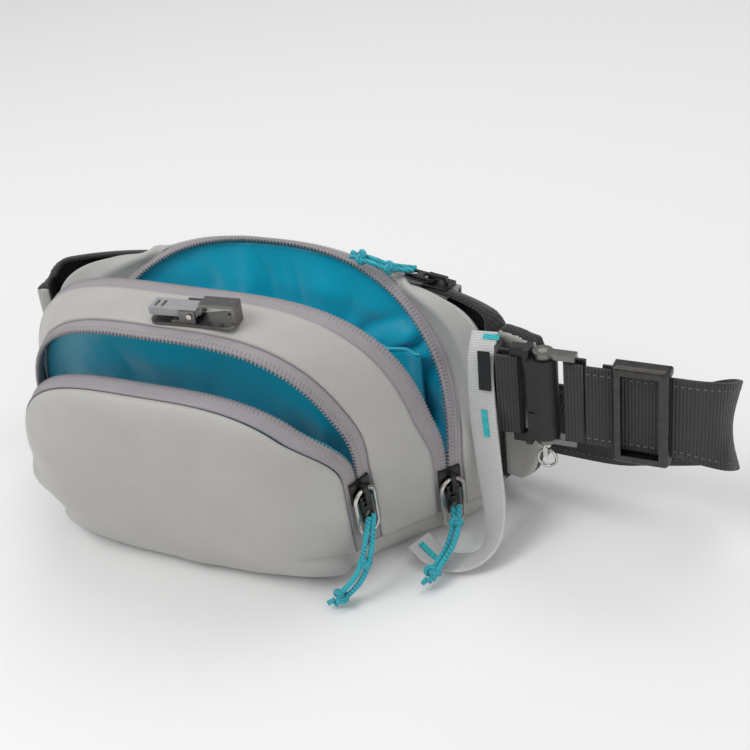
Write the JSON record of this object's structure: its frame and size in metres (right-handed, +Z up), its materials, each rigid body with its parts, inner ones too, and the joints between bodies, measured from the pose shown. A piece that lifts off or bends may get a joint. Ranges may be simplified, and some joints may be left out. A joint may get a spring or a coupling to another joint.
{
  "type": "money belt",
  "caption": "Arched zip-top waist pack with padded back, front and main pockets, webbing belt, locking buckle and cord zip pulls.",
  "frame": {"origin": "on the flat underside of the bottom panel, below the middle of the bag", "axes": "+X toward the belt buckle (the right of the front), +Y toward the wearer's side (the padded back), +Z up from the surface it stands on"},
  "size_m": [0.3533, 0.147, 0.13],
  "materials": {
    "shell_cloth": "coated woven, satin",
    "zip_tape": "woven twill tape",
    "zip_coil": "moulded nylon coil",
    "lining": "satin weave",
    "mesh_pad": "air mesh",
    "black_webbing": "ribbed webbing",
    "grey_webbing": "satin ribbon webbing",
    "thread": "dense stitching",
    "label": "woven label",
    "pull_cord": "braided cord",
    "stainless": "drawn wire, polished",
    "gunmetal": "dark plated metal",
    "lock_steel": "satin plated steel",
    "grey_plastic": "moulded",
    "black_plastic": "fine moulded grain"
  },
  "bodies": {
    "bag": {"front_panel": "shell_cloth", "middle_gusset": "shell_cloth", "rear_gusset": "shell_cloth", "bottom_panel": "shell_cloth", "front_zip_front_tape": "zip_tape", "front_zip_rear_tape": "zip_tape", "main_zip_front_tape": "zip_tape", "main_zip_rear_tape": "zip_tape", "rear_zip_tape": "zip_tape", "front_zip_front_coil": "zip_coil", "front_zip_rear_coil": "zip_coil", "main_zip_front_coil": "zip_coil", "main_zip_rear_coil": "zip_coil", "rear_zip_coil": "zip_coil", "front_pocket_lining": "lining", "divider": "lining", "gusset_lining": "lining", "rear_lining": "lining", "back_lining": "lining", "slip_pocket": "lining", "front_binding": "lining", "back_panel": "mesh_pad", "right_wing": "mesh_pad", "left_wing": "mesh_pad", "wing_webbing": "black_webbing", "belt_webbing": "black_webbing", "side_loop": "grey_webbing", "bartacks": "thread", "label_tab": "label", "pin_spring": "stainless", "lock_plate": "lock_steel", "lock_bracket": "lock_steel", "lock_rivets": "lock_steel", "lock_rod": "lock_steel", "buckle_housing": "black_plastic"},
    "front_slider_body": {"front_slider": "gunmetal"},
    "front_pull": {"front_pull_tab": "gunmetal", "front_cord_left": "pull_cord", "front_cord_right": "pull_cord", "front_cord_knots": "pull_cord"},
    "front_ring_body": {"front_ring": "stainless"},
    "main_slider_body": {"main_slider": "gunmetal"},
    "main_pull": {"main_pull_tab": "gunmetal", "main_cord_left": "pull_cord", "main_cord_right": "pull_cord", "main_cord_knots": "pull_cord"},
    "main_ring_body": {"main_ring": "stainless"},
    "rear_slider_body": {"rear_slider": "gunmetal"},
    "rear_pull": {"rear_pull_tab": "gunmetal", "rear_cord_left": "pull_cord", "rear_cord_right": "pull_cord", "rear_cord_knots": "pull_cord"},
    "clip": {"lock_clip": "grey_plastic"},
    "pin": {"locking_pin": "stainless"},
    "pin_ring_body": {"pin_ring": "stainless"},
    "bracket": {"steel_bracket": "stainless", "strap_loop": "black_webbing"},
    "glide": {"triglide": "gunmetal", "strap_tail": "black_webbing"}
  },
  "joints": [
    {"name": "front_slider_travel", "type": "slide", "parent": "bag", "child": "front_slider_body", "axis": [-0.0422, 0.1756, -0.9836], "range_m": [0, 0.026]},
    {"name": "front_tab_swing", "type": "hinge", "parent": "front_slider_body", "child": "front_pull", "pos_m": [0.08088, -0.04333, 0.04386], "axis": [-0.4163, -0.898, -0.1425], "range_deg": [0, 100]},
    {"name": "front_ring_swing", "type": "hinge", "parent": "front_slider_body", "child": "front_ring_body", "pos_m": [0.08104, -0.04399, 0.0476], "axis": [-0.4163, -0.898, -0.1425], "range_deg": [0, 80]},
    {"name": "main_slider_travel", "type": "slide", "parent": "bag", "child": "main_slider_body", "axis": [-0.024, 0.04, -0.9989], "range_m": [-0.004, 0.003]},
    {"name": "main_tab_swing", "type": "hinge", "parent": "main_slider_body", "child": "main_pull", "pos_m": [0.1043, -0.00507, 0.02662], "axis": [-0.645, -0.764, -0.0151], "range_deg": [0, 100]},
    {"name": "main_ring_swing", "type": "hinge", "parent": "main_slider_body", "child": "main_ring_body", "pos_m": [0.10439, -0.00522, 0.03041], "axis": [-0.645, -0.764, -0.0151], "range_deg": [0, 80]},
    {"name": "rear_slider_travel", "type": "slide", "parent": "bag", "child": "rear_slider_body", "axis": [-0.985, 0.1589, 0.0669], "range_m": [0, 0.009]},
    {"name": "rear_tab_swing", "type": "hinge", "parent": "rear_slider_body", "child": "rear_pull", "pos_m": [0.07923, 0.05199, 0.09622], "axis": [0.1592, 0.9872, 0], "range_deg": [0, 110]},
    {"name": "clip_lift", "type": "hinge", "parent": "bag", "child": "clip", "pos_m": [0.0155, -0.0448, 0.1254], "axis": [-0.0872, 0.9962, 0], "range_deg": [0, 60]},
    {"name": "pin_pull", "type": "slide", "parent": "bag", "child": "pin", "axis": [0, 0, -1], "range_m": [0, 0.006], "stiffness_N_per_m": 500, "springref_m": -0.004, "deforming": ["pin_spring"]},
    {"name": "pin_ring_swing", "type": "hinge", "parent": "pin", "child": "pin_ring_body", "pos_m": [0.1421, 0.0136, 0.0403], "axis": [1, 0, 0], "range_deg": [-80, 80]},
    {"name": "bracket_swivel", "type": "hinge", "parent": "bag", "child": "bracket", "pos_m": [0.1421, 0.0136, 0.068], "axis": [0, 0, 1], "range_deg": [-10, 10]},
    {"name": "glide_travel", "type": "slide", "parent": "bag", "child": "glide", "axis": [1, 0, 0], "range_m": [-0.006, 0.003]}
  ],
  "couplings": [
    {"joint": "front_ring_swing", "follows": "front_tab_swing", "ratio": 0.8},
    {"joint": "main_ring_swing", "follows": "main_tab_swing", "ratio": 0.8}
  ]
}
